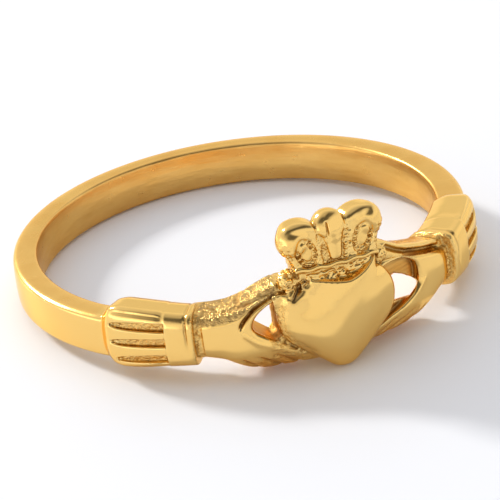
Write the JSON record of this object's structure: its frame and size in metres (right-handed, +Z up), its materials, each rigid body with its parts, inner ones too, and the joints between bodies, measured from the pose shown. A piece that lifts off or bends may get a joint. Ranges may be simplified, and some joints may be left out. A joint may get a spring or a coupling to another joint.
{
  "type": "claddagh ring",
  "caption": "Finger ring whose front is a domed, crowned heart held between cuffed hands, on a plain band.",
  "frame": {"origin": "on the surface that the ring lies on, under the middle between its outermost front and back", "axes": "-Y out through the front of the heart, +Z up from the surface, +X to the right hand seen from the front; the finger axis leans 2.4 degrees back from +Z, towards +Y"},
  "size_m": [0.0196, 0.021, 0.0068],
  "materials": {
    "gold": "polished yellow gold colour, with finely pitted cast recesses"
  },
  "bodies": {
    "root": {"ring": "gold"}
  },
  "joints": []
}
